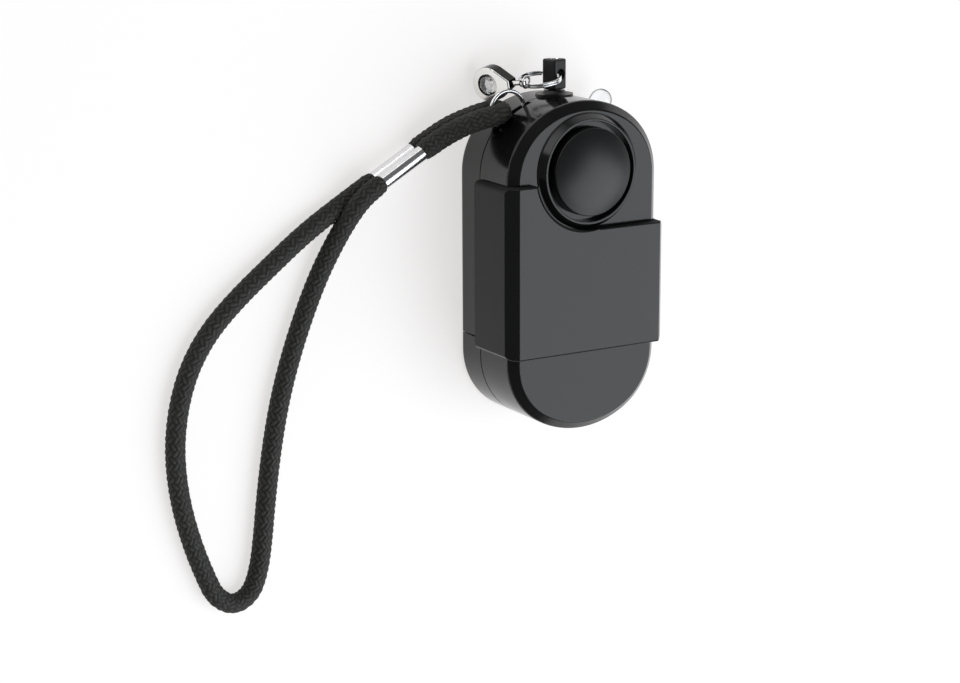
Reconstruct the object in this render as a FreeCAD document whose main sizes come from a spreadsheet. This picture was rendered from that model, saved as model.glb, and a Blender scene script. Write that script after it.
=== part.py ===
"""A personal alarm with a motion sensor, a pull pin and a wrist strap.

The alarm lies on its back: +Z is up, out of its front face, and +Y points to the end with the
pull pin. The origin is the middle of the flat back. Sizes are in millimetres.
"""
import FreeCAD, Part
import Sketcher
import math
import os

from FreeCAD import Placement, Rotation, Vector

doc = FreeCAD.newDocument("personal_alarm")
sheet = doc.addObject("Spreadsheet::Sheet", "sizes")
parts = []


class Size:
    """A length that knows its number and its formula on the sheet."""

    def __init__(self, value, text):
        self.value = value
        self.text = text

    def join(self, other, sign, value):
        other_text = other.text if isinstance(other, Size) else repr(other)
        return Size(value, "(" + self.text + " " + sign + " " + other_text + ")")

    def __add__(self, other):
        return self.join(other, "+", self.value + number(other))

    def __sub__(self, other):
        return self.join(other, "-", self.value - number(other))

    def __mul__(self, other):
        return self.join(other, "*", self.value * number(other))

    def __truediv__(self, other):
        return self.join(other, "/", self.value / number(other))

    def __radd__(self, other):
        return Size(float(other), repr(other)) + self

    def __rsub__(self, other):
        return Size(float(other), repr(other)) - self

    def __rmul__(self, other):
        return self * other

    def __neg__(self):
        return self * -1


def number(size):
    """The plain number of a size."""
    return size.value if isinstance(size, Size) else float(size)


def formula(size):
    """The formula of a size, for the model's own expressions."""
    return size.text if isinstance(size, Size) else repr(float(size))


def root(size):
    return Size(math.sqrt(number(size)), "sqrt(" + formula(size) + ")")


def sine(angle):
    """The sine of an angle in degrees."""
    return Size(math.sin(math.radians(number(angle))), "sin(" + formula(angle) + " * 1deg)")


def cosine(angle):
    """The cosine of an angle in degrees."""
    return Size(math.cos(math.radians(number(angle))), "cos(" + formula(angle) + " * 1deg)")


def cell(name, value):
    """Put one driving size on the sheet under its own name."""
    row = cell.row = cell.row + 1
    sheet.set("A" + str(row), name)
    sheet.set("B" + str(row), repr(float(value)))
    sheet.setAlias("B" + str(row), name)
    return Size(float(value), "sizes." + name)


cell.row = 0

# The case: a prism with a three-centre arch at each end, parted at the seam
case_length = cell("case_length", 67.0)
case_width = cell("case_width", 34.8)
case_front = cell("case_front", 20.45)
seam = cell("seam_level", 8.3)
crown_radius = cell("crown_radius", 20.0)
shoulder_radius = cell("shoulder_radius", 14.5)
wall = cell("wall", 1.6)
front_wall = cell("front_wall", 1.6)
rim_chamfer = cell("rim_chamfer", 1.75)
back_round = cell("back_round", 1.5)
soft_edge = cell("soft_edge", 0.3)
part_gap = cell("part_gap", 0.15)
battery_length = cell("battery_length", 18.75)
rim_edge = cell("rim_edge", 0.6)
seam_edge = cell("seam_edge", 0.2)

# The wrap-round front cover
cover_side = cell("cover_side", 1.6)
cover_front = cell("cover_front", 22.7)
cover_back = cell("cover_back", 8.7)
cover_lap = cell("cover_lap", 1.95)
cover_left_drop = cell("cover_left_drop", 1.9)
cover_right_drop = cell("cover_right_drop", 11.6)
cover_slope_in = cell("cover_slope_in", 1.54)
cover_slope_back = cell("cover_slope_back", 3.33)
cover_corner = cell("cover_corner", 1.2)
cover_edge = cell("cover_edge", 0.5)
cover_arc = cell("cover_arc", 11.75)

# The sensor's bezel, lens and window
lens_inset = cell("lens_inset", 13.8)
bezel_base = cell("bezel_base", 11.4)
bezel_foot = cell("bezel_foot", 11.62)
bezel_foot_height = cell("bezel_foot_height", 0.3)
bezel_rim = cell("bezel_rim", 10.5)
bezel_bore = cell("bezel_bore", 10.0)
bezel_top = cell("bezel_top", 22.1)
lip_round = cell("lip_round", 0.15)
lens_radius = cell("lens_radius", 8.8)
lens_edge = cell("lens_edge", 22.8)
lens_round = cell("lens_round", 0.35)
lens_top = cell("lens_top", 25.0)
lens_wall = cell("lens_wall", 0.7)
lens_flange = cell("lens_flange", 10.2)
flange_thick = cell("flange_thick", 0.9)
fit_gap = cell("fit_gap", 0.1)
retainer_radius = cell("retainer_radius", 10.8)
retainer_thick = cell("retainer_thick", 1.0)

# The pull pin, its collar and its rod
collar_radius = cell("collar_radius", 3.8)
collar_neck = cell("collar_neck", 2.1)
collar_height = cell("collar_height", 0.9)
collar_rim = cell("collar_rim", 0.25)
collar_sink = cell("collar_sink", 0.4)
collar_stem = cell("collar_stem", 1.9)
collar_stem_length = cell("collar_stem_length", 3.0)
pin_neck = cell("pin_neck", 1.3)
pin_neck_seat = cell("pin_neck_seat", 0.7)
pin_gap = cell("pin_gap", 0.2)
pin_width = cell("pin_width", 3.5)
pin_height = cell("pin_height", 6.1)
pin_corner = cell("pin_corner", 0.4)
pin_turn = cell("pin_turn", 17.0)
pin_hole = cell("pin_hole", 1.2)
pin_hole_up = cell("pin_hole_up", 3.0)
rod_radius = cell("rod_radius", 1.0)
rod_length = cell("rod_length", 17.4)
stud_length = cell("stud_length", 1.2)
stud_proud = cell("stud_proud", 0.15)
slide_fit = cell("slide_fit", 0.05)

# The split ring and the charm on it
split_radius = cell("split_radius", 4.3)
split_wire = cell("split_wire", 0.28)
link_radius = cell("link_radius", 1.1)
link_wire = cell("link_wire", 0.25)
link_angle = cell("link_angle", 157.0)
charm_head = cell("charm_head", 3.59)
charm_reach = cell("charm_reach", 5.1)
charm_neck = cell("charm_neck", 2.5)
charm_tip = cell("charm_tip", 0.75)
charm_thick = cell("charm_thick", 2.94)
eye_radius = cell("eye_radius", 0.66)
eye_hole = cell("eye_hole", 0.42)
eye_width = cell("eye_width", 0.6)
stone_radius = cell("stone_radius", 2.2)
stone_sink = cell("stone_sink", 0.7)

# The strap's ring, its post and its slot in the shoulder
strap_ring_radius = cell("strap_ring_radius", 3.8)
strap_ring_wire = cell("strap_ring_wire", 0.43)
strap_ring_level = cell("strap_ring_level", 9.1)
strap_ring_out = cell("strap_ring_out", 1.12)
strap_angle = cell("strap_angle", 123.0)
strap_slot = cell("strap_slot", 5.0)
strap_slot_height = cell("strap_slot_height", 1.6)
strap_slot_depth = cell("strap_slot_depth", 2.0)
post_radius = cell("post_radius", 0.9)
post_reach = cell("post_reach", 2.4)
post_low = cell("post_low", 3.0)
post_high = cell("post_high", 15.0)
post_boss = cell("post_boss", 2.1)

# The cord and its crimped sleeve
cord = cell("cord_diameter", 3.6)
lobe_radius = cell("lobe_radius", 1.55)
lobe_low = cell("lobe_low", 1.85)
lobe_step = cell("lobe_step", 3.65)
ferrule_length = cell("ferrule_length", 10.55)
ferrule_waist = cell("ferrule_waist", 0.75)
sleeve_edge = cell("sleeve_edge", 0.2)

# The lamp in the right shoulder
lamp_radius = cell("lamp_radius", 2.3)
lamp_out = cell("lamp_out", 1.9)
lamp_level = cell("lamp_level", 5.6)
lamp_angle = cell("lamp_angle", 52.0)
lamp_flange = cell("lamp_flange", 0.5)

# The inside: board, sounder, cells and switch
board_width = cell("board_width", 20.4)
board_inset = cell("board_inset", 20.5)
board_past_lens = cell("board_past_lens", 4.3)
board_level = cell("board_level", 11.0)
board_thick = cell("board_thick", 1.0)
board_post = cell("board_post", 1.2)
board_post_side = cell("board_post_side", 8.8)
board_post_end = cell("board_post_end", 1.5)
board_post_drop = cell("board_post_drop", 16.5)
sensor_foot = cell("sensor_foot", 4.6)
sensor_can = cell("sensor_can", 4.1)
sensor_height = cell("sensor_height", 3.9)
sensor_flange = cell("sensor_flange", 0.5)
sensor_bend = cell("sensor_bend", 0.3)
window_half_length = cell("window_half_length", 2.5)
window_half_width = cell("window_half_width", 2.0)
window_thick = cell("window_thick", 0.35)
chip_half = cell("chip_half", 3.0)
chip_place = cell("chip_place", 11.0)
chip_thick = cell("chip_thick", 1.2)
capacitor_side = cell("capacitor_side", 5.5)
capacitor_place = cell("capacitor_place", -6.5)
capacitor_radius = cell("capacitor_radius", 2.5)
coil_side = cell("coil_side", -5.0)
coil_place = cell("coil_place", -7.0)
coil_height = cell("coil_height", 6.5)
coil_flange = cell("coil_flange", 3.6)
coil_flange_thick = cell("coil_flange_thick", 0.8)
coil_stem = cell("coil_stem", 1.6)
winding_radius = cell("winding_radius", 3.2)
resistor_length = cell("resistor_length", 1.6)
resistor_width = cell("resistor_width", 0.8)
resistor_thick = cell("resistor_thick", 0.5)
resistor_pitch = cell("resistor_pitch", 3.4)
resistor_row = cell("resistor_row", 2.2)
resistor_side = cell("resistor_side", -8.5)
resistor_place = cell("resistor_place", 1.5)
lead_radius = cell("lead_radius", 0.25)
lead_pitch = cell("lead_pitch", 2.54)
lead_bend = cell("lead_bend", 6.2)
leaf_length = cell("leaf_length", 5.5)
leaf_thick = cell("leaf_thick", 0.3)
leaf_start = cell("leaf_start", 0.5)
leaf_reach = cell("leaf_reach", 1.5)
sounder_place = cell("sounder_place", 1.5)
sounder_radius = cell("sounder_radius", 14.0)
sounder_height = cell("sounder_height", 1.6)
sounder_ledge = cell("sounder_ledge", 1.8)
plate_radius = cell("plate_radius", 13.4)
plate_thick = cell("plate_thick", 0.3)
disc_radius = cell("disc_radius", 10.0)
disc_thick = cell("disc_thick", 0.25)
slot_length = cell("slot_length", 9.0)
slot_width = cell("slot_width", 1.2)
slot_pitch = cell("slot_pitch", 2.5)
slot_first = cell("slot_first", 4.5)
cell_radius = cell("cell_radius", 5.8)
cell_length = cell("cell_length", 5.4)
cell_inset = cell("cell_inset", 11.3)
tongue_place = cell("tongue_place", 8.0)
tongue_half = cell("tongue_half", 2.0)
tongue_reach = cell("tongue_reach", 2.5)
tongue_root = cell("tongue_root", 3.0)
tongue_thick = cell("tongue_thick", 0.9)
tongue_gap = cell("tongue_gap", 0.1)
cell_count = 3
cell_start = cell("cell_start", -7.0)
holder_half = cell("holder_half", 9.7)
holder_wall = cell("holder_wall", 0.9)
contact_thick = cell("contact_thick", 0.3)
contact_half = cell("contact_half", 4.0)
contact_drop = cell("contact_drop", 3.0)
spring_foot = cell("spring_foot", 3.2)
spring_tip = cell("spring_tip", 1.6)
spring_gap = cell("spring_gap", 0.02)
cell_gap = cell("cell_gap", 0.1)
holder_room = cell("holder_room", 0.3)
holder_drop = cell("holder_drop", 4.0)
switch_place = cell("switch_place", 4.5)
switch_level = cell("switch_level", 5.9)
switch_length = cell("switch_length", 9.0)
switch_height = cell("switch_height", 3.8)
switch_depth = cell("switch_depth", 3.0)
knob_length = cell("knob_length", 3.0)
knob_height = cell("knob_height", 2.0)
knob_proud = cell("knob_proud", 0.8)
knob_travel = cell("knob_travel", 1.4)
knob_gap = cell("knob_gap", 0.3)
switch_back = cell("switch_back", 0.6)
knob_foot = cell("knob_foot", 0.5)
screw_side = cell("screw_side", 13.0)
screw_low_inset = cell("screw_low_inset", 23.5)
screw_high_inset = cell("screw_high_inset", 19.0)
screw_shank = cell("screw_shank", 0.8)
screw_head = cell("screw_head", 1.5)
screw_sink = cell("screw_sink", 0.4)
screw_length = cell("screw_length", 12.0)
screw_post = cell("screw_post", 2.2)
screw_bite = cell("screw_bite", 0.02)
screw_free = cell("screw_free", 0.1)
screw_cap = cell("screw_cap", 0.3)

# Places that follow from the sizes above
half_width = case_width / 2
half_length = case_length / 2
crown_place = half_length - crown_radius
shoulder_x = half_width - shoulder_radius
shoulder_y = crown_place + root((crown_radius - shoulder_radius) * (crown_radius - shoulder_radius)
                                - shoulder_x * shoulder_x)
inner_front = case_front - front_wall
lens_place = half_length - lens_inset
battery_split = battery_length - half_length
cover_bottom = battery_split - cover_lap
cover_left_top = lens_place - cover_left_drop
cover_right_top = lens_place - cover_right_drop
board_low = board_inset - half_length
board_high = lens_place + board_past_lens
board_top = board_level + board_thick
cell_place = cell_inset - half_length
screw_low = screw_low_inset - half_length
screw_high = half_length - screw_high_inset
strap_x = -shoulder_x + (shoulder_radius + strap_ring_out) * cosine(strap_angle)
strap_y = shoulder_y + (shoulder_radius + strap_ring_out) * sine(strap_angle)
post_x = strap_x - post_reach * cosine(strap_angle)
post_y = strap_y - post_reach * sine(strap_angle)


def bind(thing, **sizes):
    """Tie an object's properties to formulas on the sheet."""
    for key, size in sizes.items():
        thing.setExpression(key, formula(size))
    return thing


def put(thing, x=0, y=0, z=0, rotation=None):
    """Give an object its turn, and tie its place to the sheet."""
    thing.Placement = Placement(Vector(number(x), number(y), number(z)), rotation or Rotation())
    for axis, size in zip("xyz", (x, y, z)):
        thing.setExpression(".Placement.Base." + axis, formula(size))
    return thing


def primitive(kind, name, at=(0, 0, 0), rotation=None, **sizes):
    """A box, cylinder, cone, sphere or torus with bound sizes."""
    thing = doc.addObject("Part::" + kind, name)
    return put(bind(thing, **sizes), *at, rotation=rotation)


def box(name, low, high):
    """A box between two corners."""
    return primitive("Box", name, at=low, Length=high[0] - low[0], Width=high[1] - low[1],
                     Height=high[2] - low[2])


def cylinder(name, at, radius, height, rotation=None):
    return primitive("Cylinder", name, at=at, rotation=rotation, Radius=radius, Height=height)


def fuse(name, *things):
    thing = doc.addObject("Part::MultiFuse", name)
    thing.Shapes = list(things)
    return thing


def cut(name, base, *tools):
    thing = doc.addObject("Part::Cut", name)
    thing.Base = base
    thing.Tool = tools[0] if len(tools) == 1 else fuse(name + "_tools", *tools)
    return thing


def keep(thing, name):
    """Count an object as a sub-part under the name of its file."""
    thing.Label = name
    parts.append(thing)
    return thing


def sketch_on(body, role, name, offset=0):
    """A sketch on one of the body's own planes, moved along its normal."""
    plane = [face for face in body.Origin.OriginFeatures if face.Role == role][0]
    sketch = body.newObject("Sketcher::SketchObject", name)
    sketch.AttachmentSupport = [(plane, "")]
    sketch.MapMode = "FlatFace"
    sketch.setExpression(".AttachmentOffset.Base.z", formula(offset))
    return sketch


def hold(sketch, geometry, corner, point):
    """Fix one corner of a sketch at a place given by the sheet."""
    for kind, size in (("DistanceX", point[0]), ("DistanceY", point[1])):
        index = sketch.addConstraint(Sketcher.Constraint(kind, -1, 1, geometry, corner, number(size)))
        sketch.setExpression("Constraints[" + str(index) + "]", formula(size))


def flat(point):
    return Vector(number(point[0]), number(point[1]), 0)


def loop(sketch, steps):
    """A closed outline. A step is a corner, or (middle, corner) where an arc leads to it."""
    corners = [step[1] if isinstance(step[0], tuple) else step for step in steps]
    for index, step in enumerate(steps):
        start = corners[index - 1]
        if isinstance(step[0], tuple):
            sketch.addGeometry(Part.Arc(flat(start), flat(step[0]), flat(step[1])), False)
        else:
            sketch.addGeometry(Part.LineSegment(flat(start), flat(step)), False)
    count = len(steps)
    first = sketch.GeometryCount - count
    for index in range(count):
        here = first + index
        after = first + (index + 1) % count
        before_end = end_of(sketch, here, corners[index])
        after_start = end_of(sketch, after, corners[index])
        sketch.addConstraint(Sketcher.Constraint("Coincident", here, before_end, after, after_start))
        hold(sketch, here, before_end, corners[index])
    return sketch


def end_of(sketch, geometry, corner):
    """Which end of a line or an arc lies at a corner."""
    near = min((1, 2), key=lambda end: (sketch.getPoint(geometry, end) - flat(corner)).Length)
    return near


def circle(sketch, x, y, radius):
    """A circle whose centre and radius are held by the sheet."""
    middle = Vector(number(x), number(y), 0)
    index = sketch.addGeometry(Part.Circle(middle, Vector(0, 0, 1), number(radius)), False)
    hold(sketch, index, 3, (x, y))
    rule = sketch.addConstraint(Sketcher.Constraint("Radius", index, number(radius)))
    sketch.setExpression("Constraints[" + str(rule) + "]", formula(radius))
    return sketch


def arch(sketch, inset=0):
    """The case's outline, drawn in by inset: a crown and two shoulders at each end."""
    crown = number(crown_radius) - number(inset)
    shoulder = number(shoulder_radius) - number(inset)
    side = number(half_width) - number(inset)
    middle = Vector(number(shoulder_x), number(shoulder_y), 0)
    top = Vector(0, number(crown_place), 0)
    meet = top + (middle - top).normalize() * crown

    def place(point, right, up):
        return Vector(point.x * right, point.y * up, 0)

    def bow(right, up):
        outward = (middle - top).normalize()
        half = (outward + Vector(1, 0, 0)).normalize()
        points = [Vector(side, middle.y, 0), middle + half * shoulder, meet]
        return [place(point, right, up) for point in points]

    upper_right, upper_left = bow(1, 1), bow(-1, 1)
    lower_right, lower_left = bow(1, -1), bow(-1, -1)
    pieces = [
        Part.LineSegment(lower_right[0], upper_right[0]),
        Part.Arc(*upper_right),
        Part.Arc(upper_right[2], Vector(0, top.y + crown, 0), upper_left[2]),
        Part.Arc(*upper_left[::-1]),
        Part.LineSegment(upper_left[0], lower_left[0]),
        Part.Arc(*lower_left),
        Part.Arc(lower_left[2], Vector(0, -top.y - crown, 0), lower_right[2]),
        Part.Arc(*lower_right[::-1]),
    ]
    for piece in pieces:
        sketch.addGeometry(piece, False)
    ends = [(upper_right[0], 0, 1), (upper_right[2], 1, 2), (upper_left[2], 2, 3), (upper_left[0], 3, 4),
            (lower_left[0], 4, 5), (lower_left[2], 5, 6), (lower_right[2], 6, 7), (lower_right[0], 7, 0)]
    for corner, before, after in ends:
        point = (corner.x, corner.y)
        sketch.addConstraint(Sketcher.Constraint("Tangent", before, end_of(sketch, before, point),
                                                 after, end_of(sketch, after, point)))
    for index, radius in ((1, shoulder_radius), (2, crown_radius), (3, shoulder_radius),
                          (5, shoulder_radius), (6, crown_radius), (7, shoulder_radius)):
        rule = sketch.addConstraint(Sketcher.Constraint("Radius", index, number(radius - inset)))
        sketch.setExpression("Constraints[" + str(rule) + "]", formula(radius - inset))
    hold(sketch, 2, 3, (0, crown_place))
    hold(sketch, 6, 3, (0, -crown_place))
    for index, side_way in ((0, 1), (4, -1)):
        sketch.addConstraint(Sketcher.Constraint("Vertical", index))
        reach = (half_width - inset) * side_way
        rule = sketch.addConstraint(
            Sketcher.Constraint("DistanceX", -1, 1, index, 1, number(reach)))
        sketch.setExpression("Constraints[" + str(rule) + "]", formula(reach))
    return sketch


def pad(body, sketch, length, reverse=False, middle=False):
    feature = body.newObject("PartDesign::Pad", sketch.Name + "_pad")
    feature.Profile = sketch
    feature.Reversed = reverse
    feature.Midplane = middle
    body.Tip = feature
    return bind(feature, Length=length)


def pocket(body, sketch, length=None, reverse=False):
    """A pocket of one depth, or right through both ways where no depth is given."""
    feature = body.newObject("PartDesign::Pocket", sketch.Name + "_pocket")
    feature.Profile = sketch
    feature.Reversed = reverse
    body.Tip = feature
    if length is None:
        feature.Type = "ThroughAll"
        feature.Midplane = True
        return feature
    return bind(feature, Length=length)


def turned(body, sketch, axis):
    """A full turn of a sketch about one of its own axes, V_Axis or H_Axis."""
    feature = body.newObject("PartDesign::Revolution", sketch.Name + "_turn")
    feature.Profile = sketch
    feature.ReferenceAxis = (sketch, [axis])
    feature.Angle = 360
    body.Tip = feature
    return feature


def soften(body, kind, size, chosen):
    """A fillet or a chamfer on the edges that a test picks out."""
    doc.recompute()
    base = body.Tip
    names = ["Edge" + str(index + 1) for index, edge in enumerate(base.Shape.Edges) if chosen(edge)]
    feature = body.newObject("PartDesign::" + kind, base.Name + "_" + kind.lower())
    feature.Base = (base, names)
    body.Tip = feature
    if kind == "Fillet":
        return bind(feature, Radius=size)
    return bind(feature, Size=size)


def lies_at(edge, level):
    """True where the whole edge lies at one height."""
    return abs(edge.BoundBox.ZMin - number(level)) < 1e-4 and abs(edge.BoundBox.ZMax - number(level)) < 1e-4


def new_body(name):
    return doc.addObject("PartDesign::Body", name)


def arch_block(name, low, high, inset=0):
    """A body with the case's outline between two heights."""
    body = new_body(name)
    pad(body, arch(sketch_on(body, "XY_Plane", name + "_outline", low), inset), high - low)
    return body


def turned_body(name, steps):
    """A body turned about Z from a profile of radius and height."""
    body = new_body(name)
    turned(body, loop(sketch_on(body, "XZ_Plane", name + "_profile"), steps), "V_Axis")
    return body


along_y = Rotation(Vector(1, 0, 0), -90)
along_x = Rotation(Vector(0, 1, 0), 90)

# The seat that the pin's collar needs in both shells, about the pin's own axis
seat_low = half_length - collar_sink - collar_stem_length
stem_seat = cylinder("collar_stem_seat", (0, seat_low, seam), collar_stem + fit_gap / 2,
                     collar_stem_length + collar_sink + 1, along_y)
flange_seat = cylinder("collar_flange_seat", (0, half_length - collar_sink, seam),
                       collar_radius + fit_gap / 2, collar_sink + 1, along_y)

# The screw places, shared by the shells and the screws
screw_places = [(side * screw_side, height) for side in (-1, 1) for height in (screw_low, screw_high)]

# Front shell: an open box with a chamfered rim, posts for the screws and a hole for the lens
front_body = arch_block("front_case", seam, case_front)
soften(front_body, "Chamfer", rim_chamfer, lambda edge: lies_at(edge, case_front))
soften(front_body, "Fillet", rim_edge,
       lambda edge: lies_at(edge, case_front) or lies_at(edge, case_front - rim_chamfer))
soften(front_body, "Fillet", seam_edge, lambda edge: lies_at(edge, seam))
front_hollow = arch(sketch_on(front_body, "XY_Plane", "front_hollow", seam), wall)
pocket(front_body, front_hollow, inner_front - seam, reverse=True)
lens_hole = circle(sketch_on(front_body, "XY_Plane", "lens_hole", inner_front), 0, lens_place,
                   lens_radius + fit_gap)
pocket(front_body, lens_hole)
front_posts = [cylinder("front_post_" + str(index), (x, y, seam), screw_post, inner_front - seam)
               for index, (x, y) in enumerate(screw_places)]


def inside_case(name, thing, low, high):
    """What of a boss lies inside the case's own outline."""
    trimmed = doc.addObject("Part::Common", name)
    trimmed.Base = thing
    trimmed.Tool = arch_block(name + "_limit", low, high, fit_gap)
    return trimmed


boss_low = seam + strap_slot_height
front_boss = inside_case("front_boss", cylinder("front_boss_round", (post_x, post_y, boss_low),
                                                post_boss, inner_front - boss_low),
                         boss_low, inner_front)
board_posts = [cylinder("board_post_" + str(index), (side * board_post_side, y, board_top), board_post,
                        inner_front - board_top)
               for index, (side, y) in enumerate([(side, y) for side in (-1, 1)
                                                  for y in (board_low + board_post_end,
                                                            lens_place - board_post_drop)])]
front_bores = [cylinder("front_bore_" + str(index), (x, y, seam), screw_shank + screw_bite,
                        screw_length - seam + 1)
               for index, (x, y) in enumerate(screw_places)]
front_post_bore = cylinder("front_post_bore", (post_x, post_y, seam), post_radius + screw_bite,
                           post_high - seam)
slot_reach = shoulder_radius - strap_slot_depth
strap_window = primitive(
    "Box", "strap_window", rotation=Rotation(Vector(0, 0, 1), number(strap_angle) - 90),
    at=(-shoulder_x + slot_reach * cosine(strap_angle) - strap_slot * sine(strap_angle),
        shoulder_y + slot_reach * sine(strap_angle) + strap_slot * cosine(strap_angle),
        seam - 1),
    Length=strap_slot * 2, Width=strap_slot_depth * 2, Height=strap_slot_height + 1)
front_solid = fuse("front_solid", front_body, front_boss, *front_posts, *board_posts)
keep(cut("front_shell", front_solid, stem_seat, flange_seat, strap_window, front_post_bore,
         *front_bores), "front_shell")

# Rear shell and battery cover: one round-backed tray, parted by a straight gap
def tray(name, y_low, y_high):
    """The stretch of the rear half between two heights."""
    body = arch_block(name, 0, seam)
    soften(body, "Fillet", back_round, lambda edge: lies_at(edge, 0))
    soften(body, "Fillet", seam_edge, lambda edge: lies_at(edge, seam))
    hollow = arch(sketch_on(body, "XY_Plane", name + "_hollow", wall), wall)
    pocket(body, hollow, seam, reverse=True)
    span = box(name + "_span", (-case_width, y_low, -1), (case_width, y_high, seam + 1))
    stretch = doc.addObject("Part::Common", name + "_stretch")
    stretch.Base = body
    stretch.Tool = span
    return stretch


rear_tray = tray("rear_tray", battery_split + part_gap, case_length)
rear_posts = [cylinder("rear_post_" + str(index), (x, y, wall / 2), screw_post, seam - wall / 2)
              for index, (x, y) in enumerate(screw_places)]
rear_boss = inside_case("rear_boss", cylinder("rear_boss_round", (post_x, post_y, wall / 2),
                                              post_boss, seam - wall / 2), wall / 2, seam)
rear_bores = [cylinder("rear_bore_" + str(index), (x, y, -1), screw_shank + screw_free, seam + 2)
              for index, (x, y) in enumerate(screw_places)]
head_sinks = [cylinder("head_sink_" + str(index), (x, y, -1), screw_head + slide_fit,
                       1 + screw_sink)
              for index, (x, y) in enumerate(screw_places)]
head_cones = [primitive("Cone", "head_cone_" + str(index), at=(x, y, screw_sink),
                        Radius1=screw_head + slide_fit, Radius2=screw_shank + screw_free,
                        Height=screw_head - screw_shank)
              for index, (x, y) in enumerate(screw_places)]
rear_post_bore = cylinder("rear_post_bore", (post_x, post_y, post_low),
                          post_radius + screw_bite, seam)

# Six sound slots with round ends, three each side of the sounder's middle
slots_body = new_body("sound_slots")
slots_sketch = sketch_on(slots_body, "XY_Plane", "slot_outlines", -1)
for side in (-1, 1):
    for step in range(3):
        level = sounder_place + side * (slot_first + slot_pitch * step)
        reach = (slot_length - slot_width) / 2
        half = slot_width / 2
        loop(slots_sketch, [(reach, level - half),
                            ((reach + half, level), (reach, level + half)),
                            (-reach, level + half),
                            ((-reach - half, level), (-reach, level - half))])
pad(slots_body, slots_sketch, wall + 2)

# The lamp looks out of the right shoulder, square to it
lamp_turn = Rotation(Vector(0, 0, 1), number(lamp_angle)).multiply(along_x)
lamp_wall_in = shoulder_radius - wall


def beside_lamp(name, start, radius, length):
    """A cylinder on the lamp's axis, from a distance out of the shoulder's centre."""
    return cylinder(name, (shoulder_x + start * cosine(lamp_angle),
                           shoulder_y + start * sine(lamp_angle), lamp_level),
                    radius, length, lamp_turn)


lamp_hole = beside_lamp("lamp_hole", lamp_wall_in - 1, lamp_radius + 0.05, wall + 3)
knob_room = knob_length / 2 + knob_travel + knob_gap
knob_side = knob_height / 2 + knob_gap
switch_window = box("switch_window",
                    (half_width - wall - 1, switch_place - knob_room, switch_level - knob_side),
                    (half_width + 1, switch_place + knob_room, switch_level + knob_side))
rear_solid = fuse("rear_solid", rear_tray, rear_boss, *rear_posts)
keep(cut("rear_shell", rear_solid, stem_seat, flange_seat, rear_post_bore, slots_body, lamp_hole,
         switch_window, *rear_bores, *head_sinks, *head_cones), "rear_shell")

cover_tray = tray("cover_tray", -case_length, battery_split - part_gap)
cover_rim = box("cover_rim", (-case_width, -case_length, seam - part_gap),
                (case_width, case_length, seam + 1))
tongue_low = wall + tongue_gap
tongue_high = tongue_low + tongue_thick
tongues = [box("tongue_" + str(side + 1),
               (side * tongue_place - tongue_half, battery_split - tongue_root, tongue_low),
               (side * tongue_place + tongue_half, battery_split + tongue_reach, tongue_high))
           for side in (-1, 1)]
tongue_roots = [box("tongue_root_" + str(side + 1),
                    (side * tongue_place - tongue_half, battery_split - tongue_root, wall / 2),
                    (side * tongue_place + tongue_half, battery_split - part_gap * 3, tongue_high))
                for side in (-1, 1)]
cover_solid = fuse("cover_solid", cover_tray, *tongues, *tongue_roots)
keep(cut("battery_cover", cover_solid, cover_rim), "battery_cover")

# Front cover: a U section run along the case, then cut to its stepped and curved top edge
cover_body = new_body("wrap_cover")
outer_half = half_width + cover_side
section = sketch_on(cover_body, "XZ_Plane", "cover_section", -cover_bottom)
loop(section, [
    (half_width, cover_back),
    (outer_half, cover_back),
    (outer_half, cover_front - cover_slope_back),
    (outer_half - cover_slope_in, cover_front),
    (-outer_half + cover_slope_in, cover_front),
    (-outer_half, cover_front - cover_slope_back),
    (-outer_half, cover_back),
    (-half_width, cover_back),
    (-half_width, case_front - rim_chamfer),
    (-half_width + rim_chamfer, case_front),
    (half_width - rim_chamfer, case_front),
    (half_width, case_front - rim_chamfer),
])
pad(cover_body, section, cover_left_top - cover_bottom, reverse=True)
soften(cover_body, "Fillet", cover_edge,
       lambda edge: edge.BoundBox.YLength > 1 and edge.BoundBox.ZMin > number(case_front))
pocket(cover_body, circle(sketch_on(cover_body, "XY_Plane", "cover_round"), 0, lens_place, cover_arc))
step_sketch = sketch_on(cover_body, "XY_Plane", "cover_step")
pocket(cover_body, loop(step_sketch, [(0, cover_right_top), (outer_half + 1, cover_right_top),
                                      (outer_half + 1, cover_left_top + 1),
                                      (0, cover_left_top + 1)]))
soften(cover_body, "Fillet", cover_corner,
       lambda edge: edge.BoundBox.ZLength > 1 and edge.BoundBox.XLength + edge.BoundBox.YLength < 1e-4
       and abs(edge.BoundBox.XMin) > number(outer_half) - 0.01)
soften(cover_body, "Fillet", soft_edge,
       lambda edge: lies_at(edge, cover_front) and edge.BoundBox.XLength > number(case_width) / 2)
keep(cover_body, "front_cover")

# Bezel: a low cone with a rounded foot and a rounded lip
foot_in = (bezel_foot - bezel_base) * 0.3
bezel = turned_body("bezel", [
    (bezel_bore, case_front),
    (bezel_foot, case_front),
    ((bezel_foot - foot_in, case_front + bezel_foot_height * 0.7),
     (bezel_base, case_front + bezel_foot_height)),
    (bezel_rim, bezel_top),
    (bezel_bore, bezel_top),
])
soften(bezel, "Fillet", lip_round, lambda edge: lies_at(edge, bezel_top))
put(bezel, 0, lens_place, 0)
keep(bezel, "bezel_ring")

# Lens: a thin low dome on a straight skirt, with a flange behind the front wall
dome_rise = lens_top - lens_edge
dome_radius = (lens_radius * lens_radius + dome_rise * dome_rise) / (dome_rise * 2)
dome_centre = lens_top - dome_radius
inner_dome = dome_radius - lens_wall
inner_skirt = lens_radius - lens_wall
inner_foot = dome_centre + root(inner_dome * inner_dome - inner_skirt * inner_skirt)


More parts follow.
